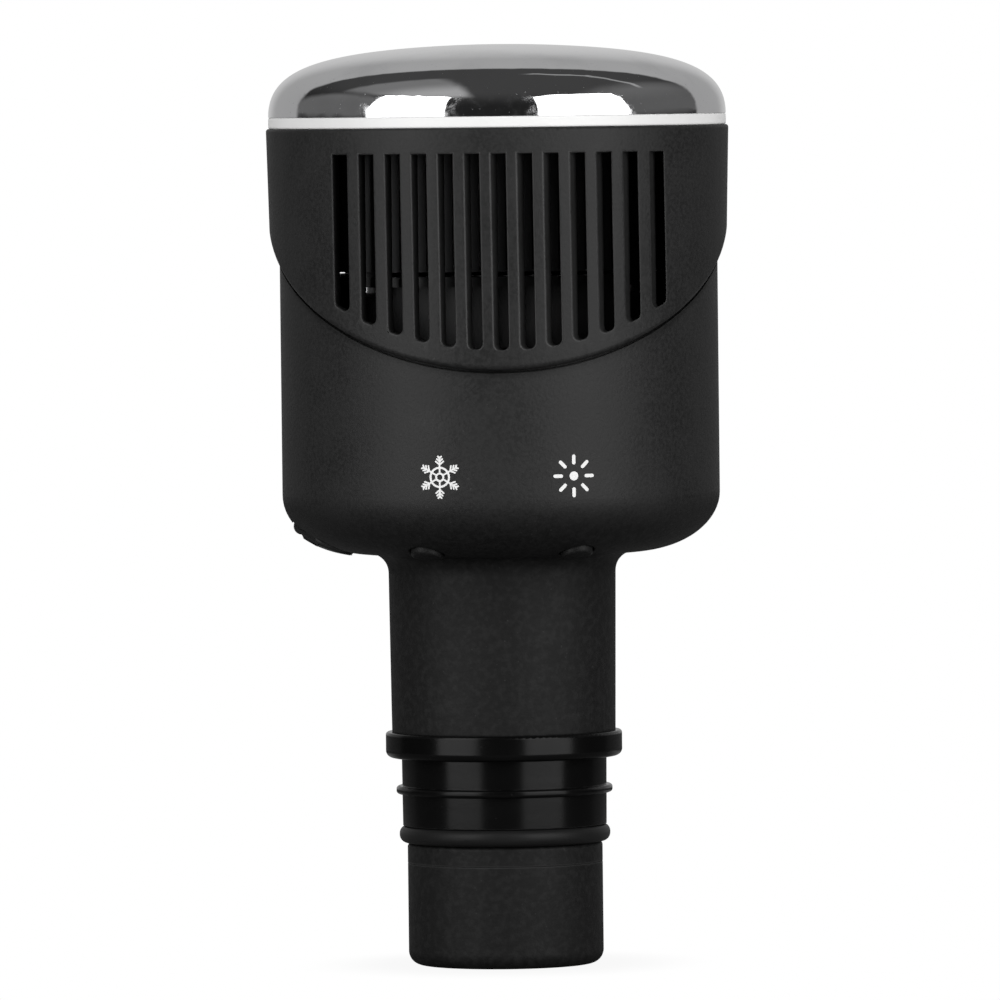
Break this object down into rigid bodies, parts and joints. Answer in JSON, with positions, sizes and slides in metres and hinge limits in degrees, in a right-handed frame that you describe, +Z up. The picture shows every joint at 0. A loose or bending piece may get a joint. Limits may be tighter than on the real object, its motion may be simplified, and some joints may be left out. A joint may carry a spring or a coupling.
{
  "type": "hot and cold massager head",
  "caption": "Plug-in hot and cold compress head for a percussion massager, with chromed dome, vented housing, fan, heat sink, push buttons, covered charge inlet and round plug.",
  "frame": {"origin": "centre of the plug's flat end face, which is the lowest face", "axes": "+Z up the plug's axis to the dome, -Y towards the front with the two symbols, +X to the right"},
  "size_m": [0.0468, 0.0468, 0.0934],
  "materials": {
    "black_shell": "fine matte texture, soft-touch black",
    "button_plastic": "matte black",
    "chrome_cap": "mirror chrome",
    "white_plastic": "satin white",
    "gloss_rubber": "glossy black silicone",
    "soft_rubber": "matte black silicone",
    "thermal_pad": "soft grey-blue pad",
    "alumina": "white ceramic",
    "alloy_legs": "dull grey semiconductor",
    "red_wire": "red insulation",
    "black_wire": "black insulation",
    "sensor_wire": "white insulation",
    "epoxy_bead": "glossy epoxy",
    "sink_aluminium": "extruded, dark anodised",
    "screw_steel": "zinc-plated",
    "fan_plastic": "black moulded",
    "bearing_bronze": "sintered bronze",
    "stator_steel": "varnished laminations",
    "magnet": "bonded ferrite",
    "board": "green solder mask",
    "components": "black moulded packages",
    "switch_plastic": "black moulded",
    "socket_steel": "drawn stainless shell",
    "cell_steel": "nickel-plated can",
    "cell_wrap": "blue shrink wrap",
    "foam": "closed-cell foam"
  },
  "bodies": {
    "casing": {"main_body": "black_shell", "vent_housing": "black_shell", "end_cap": "black_shell", "contact_dome": "chrome_cap", "insulating_ring": "white_plastic", "collar_sleeve": "gloss_rubber", "seal_ring": "gloss_rubber", "thermal_pad_bottom": "thermal_pad", "thermal_pad_top": "thermal_pad", "peltier_hot_plate": "alumina", "peltier_cold_plate": "alumina", "peltier_legs": "alloy_legs", "peltier_leads": "red_wire", "fan_leads": "black_wire", "battery_leads": "black_wire", "sensor_leads": "sensor_wire", "temperature_sensor": "epoxy_bead", "heat_sink": "sink_aluminium", "clamp_screws": "screw_steel", "fan_screws": "screw_steel", "board_screws": "screw_steel", "port_cover_pin": "screw_steel", "fan_frame": "fan_plastic", "fan_bearing": "bearing_bronze", "fan_stator": "stator_steel", "control_board": "board", "board_components": "components", "switch_bodies": "switch_plastic", "usb_tongue": "switch_plastic", "usb_socket": "socket_steel", "battery_cell": "cell_steel", "battery_wrap": "cell_wrap", "battery_pad": "foam", "battery_collar": "foam"},
    "cold_button": {"cold_button": "button_plastic", "cold_switch_plunger": "switch_plastic"},
    "heat_button": {"heat_button": "button_plastic", "heat_switch_plunger": "switch_plastic"},
    "fan_rotor": {"fan_impeller": "fan_plastic", "fan_magnet": "magnet", "fan_shaft": "screw_steel"},
    "port_cover": {"port_cover": "soft_rubber"}
  },
  "joints": [
    {"name": "cold_press", "type": "slide", "parent": "casing", "child": "cold_button", "axis": [0, 0, 1], "range_m": [0, 0.0005], "stiffness_N_per_m": 2000},
    {"name": "heat_press", "type": "slide", "parent": "casing", "child": "heat_button", "axis": [0, 0, 1], "range_m": [0, 0.0005], "stiffness_N_per_m": 2000},
    {"name": "fan_spin", "type": "hinge", "parent": "casing", "child": "fan_rotor", "pos_m": [0, 0, 0.066], "axis": [0, 0, 1], "continuous": true},
    {"name": "cover_swing", "type": "hinge", "parent": "casing", "child": "port_cover", "pos_m": [-0.0202, 0, 0.04481], "axis": [0, 1, 0], "range_deg": [0, 95]}
  ]
}
